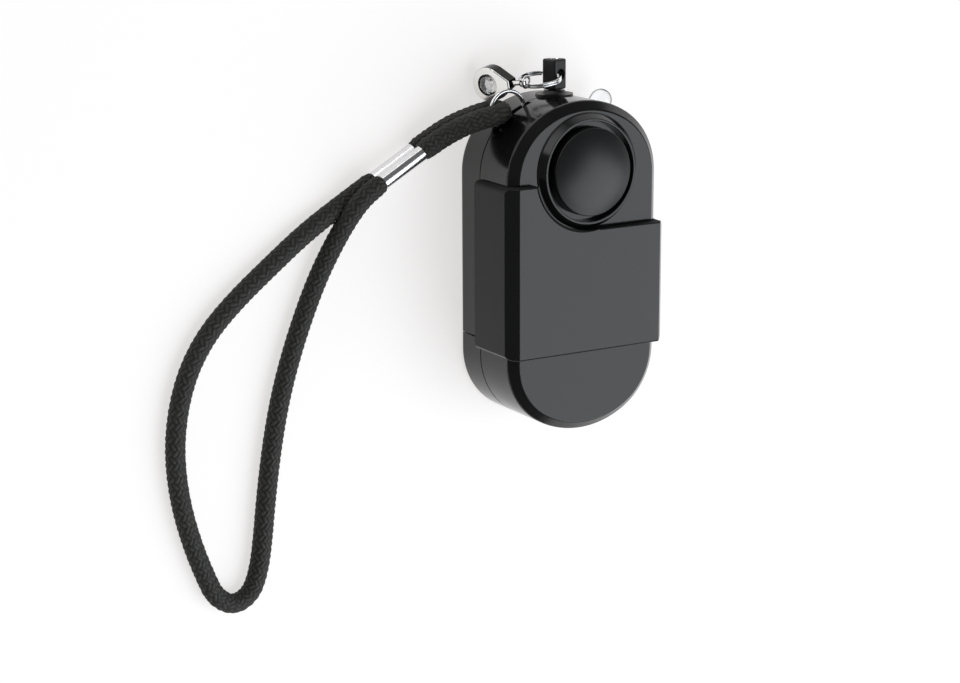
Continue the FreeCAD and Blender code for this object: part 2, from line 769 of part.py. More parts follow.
def on_dome(radius, edge_radius, edge_level):
    """The point of a dome's section halfway between its edge and its top."""
    edge_angle = math.atan2(number(edge_level - dome_centre), number(edge_radius))
    angle = (edge_angle + math.pi / 2) / 2
    return (radius * math.cos(angle), dome_centre + radius * math.sin(angle))


lens = turned_body("lens", [
    (inner_skirt, inner_front - flange_thick),
    (lens_flange, inner_front - flange_thick),
    (lens_flange, inner_front),
    (lens_radius, inner_front),
    (lens_radius, lens_edge),
    (on_dome(dome_radius, lens_radius, lens_edge), (0, lens_top)),
    (0, lens_top - lens_wall),
    (on_dome(inner_dome, inner_skirt, inner_foot), (inner_skirt, inner_foot)),
])
soften(lens, "Fillet", lens_round, lambda edge: lies_at(edge, lens_edge))
put(lens, 0, lens_place, 0)
keep(lens, "dome_lens")

retainer_top = inner_front - flange_thick
retainer = turned_body("retainer", [
    (inner_skirt, retainer_top - retainer_thick),
    (retainer_radius, retainer_top - retainer_thick),
    (retainer_radius, inner_front),
    (lens_flange + fit_gap, inner_front),
    (lens_flange + fit_gap, retainer_top),
    (inner_skirt, retainer_top),
])
put(retainer, 0, lens_place, 0)
keep(retainer, "lens_retainer")

# Motion sensor: a flanged metal can with a dark window let into its top
sensor_top = board_top + sensor_height
can = turned_body("can", [
    (0, board_top),
    (sensor_foot, board_top),
    (sensor_foot, board_top + sensor_flange),
    (sensor_can, board_top + sensor_flange),
    (sensor_can, sensor_top - sensor_bend),
    (sensor_can - sensor_bend, sensor_top),
    (0, sensor_top),
])
put(can, 0, lens_place, 0)
window_low = (-window_half_length, lens_place - window_half_width, sensor_top - window_thick)
window_pit = box("window_pit", window_low,
                 (window_half_length, lens_place + window_half_width, sensor_top + 1))
keep(cut("motion_sensor", can, window_pit), "motion_sensor")
keep(box("sensor_window", window_low,
         (window_half_length, lens_place + window_half_width, sensor_top)), "sensor_window")

# Pin collar: a flared guide, seated in a shallow counterbore of the end wall
collar_low = half_length - collar_sink
collar = turned_body("collar", [
    (rod_radius + slide_fit, -collar_stem_length),
    (collar_stem, -collar_stem_length),
    (collar_stem, 0),
    (collar_radius, 0),
    (collar_radius, collar_sink + collar_rim),
    ((collar_neck + 0.45, collar_sink + collar_rim + 0.15), (collar_neck, collar_sink + collar_height)),
    (pin_neck + slide_fit, collar_sink + collar_height),
    (pin_neck + slide_fit, collar_sink + collar_height - pin_neck_seat),
    (rod_radius + slide_fit, collar_sink + collar_height - pin_neck_seat),
])
put(collar, 0, collar_low, seam, along_y)
keep(collar, "pin_collar")

# Pull pin: a square head turned a little about its own axis, with a round neck
head_low = half_length + collar_height + pin_gap
neck_low = half_length + collar_height - pin_neck_seat + part_gap
pin_head = new_body("pin_block")
half_pin = pin_width / 2
head_outline = loop(sketch_on(pin_head, "XY_Plane", "pin_square"),
                    [(-half_pin, -half_pin), (half_pin, -half_pin), (half_pin, half_pin),
                     (-half_pin, half_pin)])
pad(pin_head, head_outline, pin_height)
soften(pin_head, "Fillet", pin_corner, lambda edge: True)
put(pin_head, 0, head_low, seam, Rotation(Vector(0, 1, 0), number(pin_turn)).multiply(along_y))
neck = cylinder("pin_neck_round", (0, neck_low, seam), pin_neck, head_low - neck_low + 1, along_y)
hole_y = head_low + pin_hole_up
hole_turn = Rotation(Vector(0, 1, 0), number(pin_turn))
ring_hole = cylinder("ring_hole", (-5 * sine(pin_turn), hole_y, seam - 5 * cosine(pin_turn)),
                     pin_hole, 10, hole_turn)
rod_top = hole_y - pin_hole - 0.4
head_top = head_low + pin_height
rod_low = head_low - rod_length
rod_bore = cylinder("rod_bore", (0, rod_low, seam), rod_radius, rod_top - rod_low, along_y)
stud_bore = cylinder("stud_bore", (0, head_top - stud_length, seam), rod_radius, stud_length + 1,
                     along_y)
keep(cut("pull_pin", fuse("pin_solid", pin_head, neck), ring_hole, rod_bore, stud_bore), "pull_pin")
keep(cylinder("pin_rod", (0, rod_low, seam), rod_radius, rod_top - rod_low, along_y), "pin_rod")
keep(cylinder("pin_stud", (0, head_top - stud_length, seam), rod_radius,
              stud_length + stud_proud, along_y), "pin_stud")

# Split ring: two turns of wire that lie against each other, through the hole in the pin's head
ring_tilt = 5.0
ring_yaw = 9.0
ring_reach = split_radius - 0.15
split_x = -ring_reach * math.cos(math.radians(ring_yaw))
split_z = seam + ring_reach * math.sin(math.radians(ring_yaw))
split_turn = Rotation(Vector(1, 0, 0), ring_tilt - 90)
split_centre = Vector(number(split_x), number(hole_y), number(split_z))
turns = []
for side in (-1, 1):
    lift = split_turn.multVec(Vector(0, 0, side * 0.9 * number(split_wire)))
    turns.append(primitive("Torus", "split_turn_" + str(side + 1),
                           at=(split_x + lift.x, hole_y + lift.y, split_z + lift.z),
                           rotation=split_turn, Radius1=split_radius, Radius2=split_wire))
keep(fuse("split_ring", *turns), "split_ring")

# Charm: a teardrop with a bored cup for its stone, hung by an eye on a small closed link
link_spoke = split_turn.multVec(Vector(math.cos(math.radians(number(link_angle))),
                                       -math.sin(math.radians(number(link_angle))), 0))
link_x = split_x + split_radius * link_spoke.x
link_y = hole_y + split_radius * link_spoke.y
link_z = split_z + split_radius * link_spoke.z
split_axis = split_turn.multVec(Vector(0, 0, 1))
link_axis = split_axis.cross(link_spoke)
keep(primitive("Torus", "charm_link", at=(link_x, link_y, link_z),
               rotation=Rotation(Vector(0, 0, 1), link_axis), Radius1=link_radius,
               Radius2=link_wire), "charm_link")

charm_axis = Vector(0.408, 0.080, 0.898).normalize()
charm_side = Vector(-0.844, -0.144, 0.517).cross(charm_axis).normalize()
charm_turn = Rotation(charm_axis, charm_side, Vector(0, 0, 1), "XYZ")
eye_x = link_x + link_radius * link_spoke.x
eye_y = link_y + link_radius * link_spoke.y
eye_z = link_z + link_radius * link_spoke.z
charm_hang = charm_reach + charm_neck
charm_at = (eye_x - charm_hang * charm_axis.x, eye_y - charm_hang * charm_axis.y,
            eye_z - charm_hang * charm_axis.z)

# The teardrop's sides are tangents from the head's circle to the blunt tip
tip_lean = math.asin((number(charm_head) - number(charm_tip)) / number(charm_reach))
tangent_x = charm_head * math.sin(tip_lean)
tangent_y = charm_head * math.cos(tip_lean)
drop = new_body("teardrop")
pad(drop, loop(sketch_on(drop, "XY_Plane", "teardrop_outline"), [
    ((-charm_head, 0), (tangent_x, -tangent_y)),
    (charm_reach, -charm_tip),
    (charm_reach, charm_tip),
    (tangent_x, tangent_y),
]), charm_thick, middle=True)
soften(drop, "Fillet", soft_edge, lambda edge: abs(edge.BoundBox.ZMin - edge.BoundBox.ZMax) < 1e-6)
cup = cylinder("stone_cup", (0, 0, charm_thick / 2 - stone_sink), stone_radius + fit_gap / 2, 3)
eye_stem = cylinder("eye_stem", (charm_reach - 0.5, 0, 0), eye_radius * 0.8,
                    charm_neck + 0.4 - eye_hole, along_x)
eye_rim = cylinder("eye_rim", (charm_hang, -eye_width / 2, 0), eye_radius, eye_width, along_y)
eye_bore = cylinder("eye_bore", (charm_hang, -eye_width, 0), eye_hole, eye_width * 2, along_y)
charm = cut("charm_solid", fuse("charm_whole", drop, eye_stem, eye_rim), cup, eye_bore)
put(charm, *charm_at, rotation=charm_turn)
keep(charm, "charm")
stone = turned_body("stone", [
    (0, charm_thick / 2 - stone_sink),
    (stone_radius * 0.75, charm_thick / 2 - stone_sink),
    (stone_radius, charm_thick / 2 - 0.1),
    (stone_radius * 0.62, charm_thick / 2 + 0.55),
    (0, charm_thick / 2 + 0.55),
])
put(stone, *charm_at, rotation=charm_turn)
keep(stone, "charm_stone")

# Strap ring and the steel post that it turns on, inside the shoulder
keep(primitive("Torus", "strap_ring", at=(strap_x, strap_y, strap_ring_level),
               Radius1=strap_ring_radius, Radius2=strap_ring_wire), "strap_ring")
keep(cylinder("strap_post", (post_x, post_y, post_low), post_radius, post_high - post_low),
     "strap_post")

# The cord folds round the ring, goes through the sleeve as two strands and makes the wrist loop.
# The routes were laid with the ring at RING_HOME, and they follow it where the case changes.
RING_HOME = (-11.407, 31.273)
FERRULE_START = (-28.85, 23.8)
FERRULE_ANGLE = -150.14
strand_low = number(lobe_low)
strand_high = number(lobe_low + lobe_step)
bight_route = [
    (-28.85, 23.80, strand_high),
    (-25.55, 25.69, strand_high),
    (-21.70, 28.25, 7.70),
    (-18.10, 29.90, 9.90),
    (-14.65, 30.98, 11.99),
    (-12.62, 31.34, 9.14),
    (-14.03, 31.09, 5.92),
    (-17.80, 29.90, 4.75),
    (-21.60, 28.22, 3.20),
    (-25.55, 25.69, strand_low),
    (-28.85, 23.80, strand_low),
]
loop_route = [
    (-38.00, 18.548, strand_low),
    (-45.20, 14.416, strand_low),
    (-53.20, 9.60, strand_low),
    (-60.90, 3.80, strand_low),
    (-68.20, -1.90, strand_low),
    (-74.20, -7.60, strand_low),
    (-78.30, -13.80, strand_low),
    (-80.80, -20.60, strand_low),
    (-82.10, -28.30, strand_low),
    (-82.00, -35.60, strand_low),
    (-80.90, -43.00, strand_low),
    (-78.90, -50.40, strand_low),
    (-76.80, -56.20, strand_low),
    (-74.70, -61.20, strand_low),
    (-70.90, -63.80, strand_low),
    (-66.90, -62.00, strand_low),
    (-65.00, -57.00, strand_low),
    (-64.05, -51.00, strand_low),
    (-63.30, -44.40, strand_low),
    (-62.30, -37.20, strand_low),
    (-61.00, -29.60, strand_low),
    (-59.15, -21.60, strand_low),
    (-56.80, -14.20, strand_low),
    (-54.00, -6.90, strand_low),
    (-50.80, 0.20, strand_low),
    (-47.60, 6.30, 2.50),
    (-44.60, 12.30, 4.20),
    (-41.50, 16.539, strand_high),
    (-38.00, 18.548, strand_high),
]


def cord_path(name, route):
    """Straight runs joined by tangent arcs, each as large as its two runs allow."""
    points = [Vector(*point) for point in route]
    edges = []
    radii = []
    start = points[0]
    for before, corner, after in zip(points, points[1:], points[2:]):
        back = (before - corner)
        ahead = (after - corner)
        half_turn = (math.pi - back.getAngle(ahead)) / 2
        reach = 0.45 * min(back.Length, ahead.Length)
        radius = reach / math.tan(half_turn)
        back.normalize()
        ahead.normalize()
        arc_start = corner + back * reach
        arc_end = corner + ahead * reach
        inward = (back + ahead).normalize()
        middle = corner + inward * (radius / math.cos(half_turn) - radius)
        edges.append(Part.LineSegment(start, arc_start).toShape())
        edges.append(Part.Arc(arc_start, middle, arc_end).toShape())
        radii.append(round(radius, 1))
        start = arc_end
    edges.append(Part.LineSegment(start, points[-1]).toShape())
    print(name, "arc radii", radii)
    return Part.Wire(edges)


def tube(name, route, radius):
    """A round solid along a route. Its volume is printed beside section times length."""
    path = cord_path(name, route)
    ahead = Vector(*route[1]) - Vector(*route[0])
    ring = Part.Wire(Part.Circle(Vector(*route[0]), ahead, number(radius)).toShape())
    solid = path.makePipeShell([ring], True, False)
    print(name, "length", round(path.Length, 1), "volume", round(solid.Volume, 1),
          "section times length", round(math.pi * number(radius) ** 2 * path.Length, 1))
    thing = doc.addObject("Part::Feature", name)
    thing.Shape = solid
    return thing


drift = (strap_x - RING_HOME[0], strap_y - RING_HOME[1])
keep(put(tube("strap_bight", bight_route, cord / 2), *drift), "strap_bight")
keep(put(tube("strap_loop", loop_route, cord / 2), *drift), "strap_loop")

# Ferrule: a metal sleeve pressed down between the two strands, so its section is waisted
ferrule = new_body("ferrule")
half_step = lobe_step / 2
waist_round = ((ferrule_waist * ferrule_waist + half_step * half_step - lobe_radius * lobe_radius)
               / ((lobe_radius - ferrule_waist) * 2))
lobe_share = lobe_radius / (lobe_radius + waist_round)
lobe_out = (ferrule_waist + waist_round) * lobe_share
lobe_up = half_step * lobe_share
lobe_high = lobe_low + lobe_step
lobe_middle = lobe_low + half_step
pad(ferrule, loop(sketch_on(ferrule, "YZ_Plane", "ferrule_section"), [
    ((ferrule_waist, lobe_middle), (lobe_out, lobe_low + lobe_up)),
    ((0, lobe_low - lobe_radius), (-lobe_out, lobe_low + lobe_up)),
    ((-ferrule_waist, lobe_middle), (-lobe_out, lobe_high - lobe_up)),
    ((0, lobe_high + lobe_radius), (lobe_out, lobe_high - lobe_up)),
]), ferrule_length)
soften(ferrule, "Chamfer", sleeve_edge, lambda edge: edge.BoundBox.XLength < 1e-4)
put(ferrule, drift[0] + FERRULE_START[0], drift[1] + FERRULE_START[1], 0,
    Rotation(Vector(0, 0, 1), FERRULE_ANGLE))
keep(ferrule, "strap_ferrule")

# Lamp: a clear domed cylinder with a flange behind the shoulder, and its two leads
lamp_foot = lamp_wall_in - 0.35 - lamp_flange
lamp_stem = beside_lamp("lamp_stem", lamp_foot, lamp_radius,
                        shoulder_radius + lamp_out - lamp_foot)
lamp_rim = beside_lamp("lamp_rim", lamp_foot, lamp_radius + 0.4, lamp_flange)
lamp_reach = shoulder_radius + lamp_out
lamp_dome = primitive("Sphere", "lamp_dome", at=(shoulder_x + lamp_reach * cosine(lamp_angle),
                                                 shoulder_y + lamp_reach * sine(lamp_angle),
                                                 lamp_level), Radius=lamp_radius)
keep(fuse("lamp", lamp_stem, lamp_rim, lamp_dome), "lamp")


def lead(name, across):
    """One of the lamp's wires: straight out of its foot, then up to the board."""
    out = Vector(math.cos(math.radians(number(lamp_angle))), math.sin(math.radians(number(lamp_angle))), 0)
    aside = Vector(-out.y, out.x, 0) * across
    foot = Vector(number(shoulder_x), number(shoulder_y), number(lamp_level)) + aside
    bend = foot + out * number(lead_bend)
    top = Vector(bend.x, bend.y, number(board_level))
    return tube(name, [tuple(foot + out * number(lamp_foot)), tuple(bend), tuple(top)], lead_radius)


half_pitch = number(lead_pitch) / 2
keep(fuse("lamp_leads", lead("lead_one", -half_pitch), lead("lead_two", half_pitch)), "lamp_leads")

# Circuit board on its posts, with what is soldered to its back
half_board = board_width / 2
keep(box("circuit_board", (-half_board, board_low, board_level),
         (half_board, board_high, board_top)), "circuit_board")
keep(box("controller_chip", (-chip_half, chip_place - chip_half, board_level - chip_thick),
         (chip_half, chip_place + chip_half, board_level)), "controller_chip")
keep(cylinder("capacitor", (capacitor_side, capacitor_place, board_level - coil_height),
              capacitor_radius, coil_height), "capacitor")


def resistor(column, row):
    """One of the small flat resistors, by its place in their two rows."""
    x = resistor_side + resistor_pitch * column
    y = resistor_place + resistor_row * row
    return box("resistor_" + str(column) + str(row), (x, y, board_level - resistor_thick),
               (x + resistor_length, y + resistor_width, board_level))


keep(fuse("resistors", *[resistor(column, row) for column in range(5) for row in range(2)]),
     "resistors")
coil_foot = board_level - coil_height
winding_low = coil_foot + coil_flange_thick
winding_high = board_level - coil_flange_thick
coil_core = turned_body("coil", [
    (0, coil_foot),
    (coil_flange, coil_foot),
    (coil_flange, winding_low),
    (coil_stem, winding_low),
    (coil_stem, winding_high),
    (coil_flange, winding_high),
    (coil_flange, board_level),
    (0, board_level),
])
put(coil_core, coil_side, coil_place, 0)
keep(coil_core, "coil_core")
winding = turned_body("winding", [
    (coil_stem, winding_low),
    (winding_radius, winding_low),
    (winding_radius, winding_high),
    (coil_stem, winding_high),
])
put(winding, coil_side, coil_place, 0)
keep(winding, "coil_winding")

# Trigger leaves: the rod stands between their tips, and they close when it is pulled out
leaf_low = rod_low + leaf_start
leaf_gap = rod_radius + slide_fit
leaf_high = leaf_low + leaf_length
leaf_foot = seam - leaf_reach
leaves = [box("leaf_right", (leaf_gap, leaf_low, leaf_foot),
              (leaf_gap + leaf_thick, leaf_high, board_level)),
          box("leaf_left", (-leaf_gap - leaf_thick, leaf_low, leaf_foot),
              (-leaf_gap, leaf_high, board_level))]
keep(fuse("trigger_leaves", *leaves), "trigger_leaves")

# Sounder: a ring on the back wall, with the brass plate and its ceramic disc on top
sounder_top = wall + sounder_height
ledge_in = sounder_radius - sounder_ledge
plate_seat = plate_radius + fit_gap / 2
sounder = turned_body("sounder", [
    (ledge_in, wall),
    (sounder_radius, wall),
    (sounder_radius, sounder_top + plate_thick),
    (plate_seat, sounder_top + plate_thick),
    (plate_seat, sounder_top),
    (ledge_in, sounder_top),
])
put(sounder, 0, sounder_place, 0)
sounder_notches = [cylinder("sounder_notch_" + str(index), (x, y, 0), screw_post + fit_gap, seam)
                   for index, (x, y) in enumerate(screw_places)]
keep(cut("sounder_ring", sounder, *sounder_notches), "sounder_ring")
keep(cylinder("piezo_plate", (0, sounder_place, sounder_top), plate_radius, plate_thick),
     "piezo_plate")
keep(cylinder("piezo_disc", (0, sounder_place, sounder_top + plate_thick), disc_radius, disc_thick),
     "piezo_disc")

# Button cells in a row under the holder's roof, with a contact at each end
cell_level = tongue_high + fit_gap + cell_radius
cells = [cylinder("cell_" + str(index), (cell_start + cell_length * index, cell_place, cell_level),
                  cell_radius, cell_length - cell_gap, along_x) for index in range(cell_count)]
keep(fuse("cells", *cells), "cells")
row_end = cell_start + cell_length * cell_count - cell_gap
roof = cell_level + cell_radius + fit_gap
holder_depth = cell_radius + holder_room
holder_left = -holder_half
holder_right = row_end + contact_thick
holder_foot = seam - holder_drop
holder = [
    box("holder_roof", (holder_left - holder_wall, cell_place - holder_depth, roof),
        (holder_right + holder_wall, cell_place + holder_depth, inner_front)),
    box("holder_left", (holder_left - holder_wall, cell_place - holder_depth, holder_foot),
        (holder_left, cell_place + holder_depth, inner_front)),
    box("holder_right", (holder_right, cell_place - holder_depth, holder_foot),
        (holder_right + holder_wall, cell_place + holder_depth, inner_front)),
]
keep(fuse("battery_holder", *holder), "battery_holder")
contact_foot = seam - contact_drop
leaf_plate = box("leaf_plate", (holder_left, cell_place - contact_half, contact_foot),
                 (holder_left + contact_thick, cell_place + contact_half, roof))
leaf_spring = primitive("Cone", "leaf_spring", at=(holder_left + contact_thick, cell_place, cell_level),
                        rotation=along_x, Radius1=spring_foot, Radius2=spring_tip,
                        Height=cell_start - holder_left - contact_thick - spring_gap)
keep(fuse("contact_spring", leaf_plate, leaf_spring), "contact_spring")
keep(box("contact_plate", (row_end, cell_place - contact_half, contact_foot),
         (row_end + contact_thick, cell_place + contact_half, roof)), "contact_plate")

# Slide switch behind a window in the right side
switch_out = half_width - wall
switch_in = switch_out - switch_depth
keep(box("switch_body", (switch_in, switch_place - switch_length / 2, switch_level - switch_height / 2),
         (switch_out - switch_back, switch_place + switch_length / 2, switch_level + switch_height / 2)),
     "switch_body")
knob_stem = box("knob_stem", (switch_out - knob_foot, switch_place - knob_length / 2,
                              switch_level - knob_height / 2),
                (half_width + knob_proud, switch_place + knob_length / 2,
                 switch_level + knob_height / 2))
keep(knob_stem, "switch_knob")

# Case screws: countersunk, put in from the back
screws = []
for index, (x, y) in enumerate(screw_places):
    head = turned_body("screw_" + str(index), [
        (0, screw_sink - screw_cap),
        (screw_head, screw_sink - screw_cap),
        (screw_head, screw_sink),
        (screw_shank, screw_sink + screw_head - screw_shank),
        (screw_shank, screw_length),
        (0, screw_length),
    ])
    screws.append(put(head, x, y, 0))
keep(fuse("case_screws", *screws), "case_screws")

# Build the whole model, refuse a broken one and write each sub-part
doc.recompute()
broken = [thing.Name for thing in doc.Objects if "Invalid" in thing.State or "Error" in thing.State]
for thing in parts:
    if thing.Shape.isNull() or not thing.Shape.isValid() or not thing.Shape.Solids:
        broken.append(thing.Label)
if broken:
    raise RuntimeError("failed objects: " + ", ".join(broken))
os.makedirs("parts", exist_ok=True)
for thing in parts:
    thing.Shape.exportStep("parts/" + thing.Label + ".step")
print(len(parts), "sub-parts")
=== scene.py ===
import math

import bpy
from mathutils import Matrix, Vector


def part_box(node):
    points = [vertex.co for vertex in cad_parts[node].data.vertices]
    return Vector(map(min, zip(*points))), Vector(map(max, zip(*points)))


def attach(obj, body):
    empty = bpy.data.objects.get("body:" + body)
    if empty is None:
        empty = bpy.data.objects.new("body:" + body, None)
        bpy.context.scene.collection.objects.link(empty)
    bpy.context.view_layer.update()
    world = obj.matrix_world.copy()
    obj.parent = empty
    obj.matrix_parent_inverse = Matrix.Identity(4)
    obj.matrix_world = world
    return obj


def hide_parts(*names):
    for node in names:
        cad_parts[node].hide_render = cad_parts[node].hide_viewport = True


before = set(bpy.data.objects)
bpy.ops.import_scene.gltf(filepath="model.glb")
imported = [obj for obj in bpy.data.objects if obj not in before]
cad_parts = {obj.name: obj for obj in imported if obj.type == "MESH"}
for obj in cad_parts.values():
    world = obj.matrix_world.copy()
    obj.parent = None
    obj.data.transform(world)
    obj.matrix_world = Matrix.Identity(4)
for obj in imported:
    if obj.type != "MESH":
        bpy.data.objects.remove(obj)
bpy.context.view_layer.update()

mm = 0.001

# The view. The camera looks down on the front of the alarm from the pin's end and from its left
# side, and its frame takes in the whole wrist strap.
camera_place = Vector((-254.69666, 97.90466, 409.97348)) * mm
camera_right = Vector((0.86060675, -0.00412355, 0.5092534))
camera_up = Vector((0.12365234, 0.97173573, -0.20109642))
camera_back = Vector((-0.49403049, 0.23603532, 0.83679221))
photo_width = 960
focal_length = 2374.86

camera_data = bpy.data.cameras.new("view")
camera_data.sensor_width = 36
camera_data.lens = focal_length / photo_width * camera_data.sensor_width
camera_data.clip_start = 0.01
camera = bpy.data.objects.new("view", camera_data)
camera.matrix_world = Matrix((
    (camera_right.x, camera_up.x, camera_back.x, camera_place.x),
    (camera_right.y, camera_up.y, camera_back.y, camera_place.y),
    (camera_right.z, camera_up.z, camera_back.z, camera_place.z),
    (0, 0, 0, 1)))
bpy.context.collection.objects.link(camera)
bpy.context.scene.camera = camera
bpy.context.scene.view_settings.view_transform = "Standard"


# The wrist strap is a round braided nylon cord. It folds round its ring, both strands go through
# a metal sleeve, and the rest makes the loop for the hand. The routes are those of the solids.
class Wire:
    """The output of a node. Sums and products of wires and numbers become Math nodes."""

    def __init__(self, nodes, socket):
        self.nodes = nodes
        self.socket = socket

    def maths(self, operation, other):
        return self.nodes.node("Math", {"operation": operation}, {0: self, 1: other})

    def __add__(self, other):
        return self.maths("ADD", other)

    def __mul__(self, other):
        return self.maths("MULTIPLY", other)

    __radd__ = __add__
    __rmul__ = __mul__


class Nodes:
    """A node tree, to which any node is added by one method."""

    def __init__(self, tree):
        self.tree = tree

    def feed(self, node, values):
        """Give sockets of a node their wire or value. A colour of three parts gets alpha 1."""
        for key, value in values.items():
            socket = node.inputs[key]
            if isinstance(value, Wire):
                self.tree.links.new(value.socket, socket)
            elif isinstance(value, tuple) and len(value) < len(socket.default_value):
                socket.default_value = (*value, 1)
            else:
                socket.default_value = value

    def node(self, kind, settings, values, out=0):
        """Any node: its type, its settings, then the values or wires of its sockets."""
        node = self.tree.nodes.new("ShaderNode" + kind)
        for key, value in settings.items():
            if key == "stops":
                for element, stop in zip(node.color_ramp.elements, value):
                    element.position = stop
            else:
                setattr(node, key, value)
        self.feed(node, values)
        return Wire(self, node.outputs[out])

    def blend(self, mask, low, high):
        """Colour low where the mask is 0 and high where it is 1."""
        return self.node("Mix", {"data_type": "RGBA"}, {0: mask, 6: low, 7: high}, 2)


class Paint(Nodes):
    """A material round one Principled surface, whose plain inputs are given by name."""

    def __init__(self, name, **inputs):
        self.material = bpy.data.materials.new(name)
        self.material.use_nodes = True
        super().__init__(self.material.node_tree)
        self.surface = self.tree.nodes["Principled BSDF"]
        self.set(**inputs)

    def place(self):
        return self.node("TexCoord", {}, {}, "Object")

    def facing(self, way):
        """How much the surface looks along a direction of the piece, from -1 to 1."""
        return self.node("VectorMath", {"operation": "DOT_PRODUCT"}, {
            0: self.node("TexCoord", {}, {}, "Normal"), 1: tuple(way)}, "Value")

    def noise(self, scale, detail=2, stretch=(1, 1, 1)):
        """Cloudy noise from 0 to 1. A large stretch gives short features along that axis."""
        spread = self.node("Mapping", {}, {"Vector": self.place(), "Scale": stretch})
        return self.node("TexNoise", {}, {"Vector": spread, "Scale": scale, "Detail": detail})

    def ramp(self, value, low, high):
        """0 up to the low value, 1 from the high value, and an even slope between them."""
        return self.node("ValToRGB", {"stops": (low, high)}, {"Fac": value})

    def bump(self, height, depth, strength):
        """Relief of a real depth in metres, from a height between 0 and 1."""
        return self.node("Bump", {}, {"Height": height, "Distance": depth, "Strength": strength})

    def set(self, **inputs):
        """Values or wires for the surface's inputs, such as base_color for Base Color."""
        self.feed(self.surface, {key.replace("_", " ").title().replace("Ior", "IOR"): value
                                 for key, value in inputs.items()})
        return self


def add_piece(name, mesh, paint, body, slot, *nodes):
    """Put a mesh in the scene with its finish, its body and the nodes that it stands for."""
    piece = bpy.data.objects.new(name, mesh)
    bpy.context.collection.objects.link(piece)
    mesh.materials.append(paint.material)
    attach(piece, body)
    if nodes:
        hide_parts(*nodes)
    return piece


def finish_nodes(paint, *names):
    """Give solids of the frame their finish."""
    for name in names:
        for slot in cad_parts[name].material_slots:
            slot.material = paint.material


def mesh_of(name, places, faces, smooth=True):
    mesh = bpy.data.meshes.new(name)
    mesh.from_pydata(places, [], faces)
    mesh.update()
    for polygon in mesh.polygons:
        polygon.use_smooth = smooth
    return mesh


def tube(name, places, count):
    """A closed mesh from rows of so many points each: a skin round them and a face at each end."""
    last = len(places) - count
    faces = []
    for low in range(0, last, count):
        for step in range(count):
            after = (step + 1) % count
            faces.append((low + step, low + after, low + count + after, low + count + step))
    faces.append(tuple(reversed(range(count))))
    faces.append(tuple(range(last, last + count)))
    return mesh_of(name, places, faces)


def circle(count):
    """The angles of so many even steps round a circle."""
    return [2 * math.pi * step / count for step in range(count)]


def smooth_line(name, route):
    """Points along the NURBS line that a route in millimetres pulls on."""
    curve = bpy.data.curves.new(name, "CURVE")
    curve.dimensions = "3D"
    spline = curve.splines.new("NURBS")
    spline.points.add(len(route) - 1)
    for point, place in zip(spline.points, route):
        point.co = (*(Vector(place) * mm), 1)
    spline.order_u = 3
    spline.use_endpoint_u = True
    spline.resolution_u = 16
    holder = bpy.data.objects.new(name, curve)
    line = bpy.data.meshes.new_from_object(holder)
    places = [vertex.co.copy() for vertex in line.vertices]
    bpy.data.objects.remove(holder)
    return places


def even_line(places, step):
    """The same line with points at one even distance."""
    reach = [0.0]
    for before, after in zip(places, places[1:]):
        reach.append(reach[-1] + (after - before).length)
    count = round(reach[-1] / step)
    result = []
    index = 0
    for number in range(count + 1):
        goal = reach[-1] * number / count
        while index < len(places) - 2 and reach[index + 1] < goal:
            index += 1
        part = (goal - reach[index]) / (reach[index + 1] - reach[index])
        result.append(places[index].lerp(places[index + 1], min(max(part, 0), 1)))
    return result


def frames_along(places, start_side):
    """A place, a side and a top at each point of a line, turned as little as may be."""
    side = Vector(start_side)
    result = []
    for index, place in enumerate(places):
        ahead = (places[min(index + 1, len(places) - 1)] - places[max(index - 1, 0)]).normalized()
        side = (side - ahead * side.dot(ahead)).normalized()
        result.append((place, side, ahead.cross(side)))
    return result


cord_radius = 2.02 * mm
pinched_radius = 1.72 * mm
pinch_length = 1.6 * mm
fold_length = 2.6 * mm
flatness = 4
strand_relief = 0.26 * mm
strands_round = 12
stitch_length = 1.3 * mm
points_round = 72
row_step = 0.15 * mm
across_power = 0.7
along_power = 0.6
crossing_height = 0.25
strand_low = 2.02
strand_high = 5.5
bight_route = [
    (-28.85, 23.80, strand_high), (-25.55, 25.69, strand_high), (-21.70, 28.25, 7.70),
    (-18.10, 29.90, 9.90), (-14.65, 30.98, 11.99), (-12.62, 31.34, 9.14), (-14.03, 31.09, 5.92),
    (-17.80, 29.90, 4.75), (-21.60, 28.22, 3.20), (-25.55, 25.69, strand_low),
    (-28.85, 23.80, strand_low),
]
loop_route = [
    (-38.00, 18.548, strand_low), (-45.20, 14.416, strand_low), (-53.20, 9.60, strand_low),
    (-60.90, 3.80, strand_low), (-68.20, -1.90, strand_low), (-74.20, -7.60, strand_low),
    (-78.30, -13.80, strand_low), (-80.80, -20.60, strand_low), (-82.10, -28.30, strand_low),
    (-82.00, -35.60, strand_low), (-80.90, -43.00, strand_low), (-78.90, -50.40, strand_low),
    (-76.80, -56.20, strand_low), (-74.70, -61.20, strand_low), (-70.90, -63.80, strand_low),
    (-66.90, -62.00, strand_low), (-65.00, -57.00, strand_low), (-64.05, -51.00, strand_low),
    (-63.30, -44.40, strand_low), (-62.30, -37.20, strand_low), (-61.00, -29.60, strand_low),
    (-59.15, -21.60, strand_low), (-56.80, -14.20, strand_low), (-54.00, -6.90, strand_low),
    (-50.80, 0.20, strand_low), (-47.60, 6.30, 2.50), (-44.60, 12.30, 4.20),
    (-41.50, 16.539, strand_high), (-38.00, 18.548, strand_high),
]


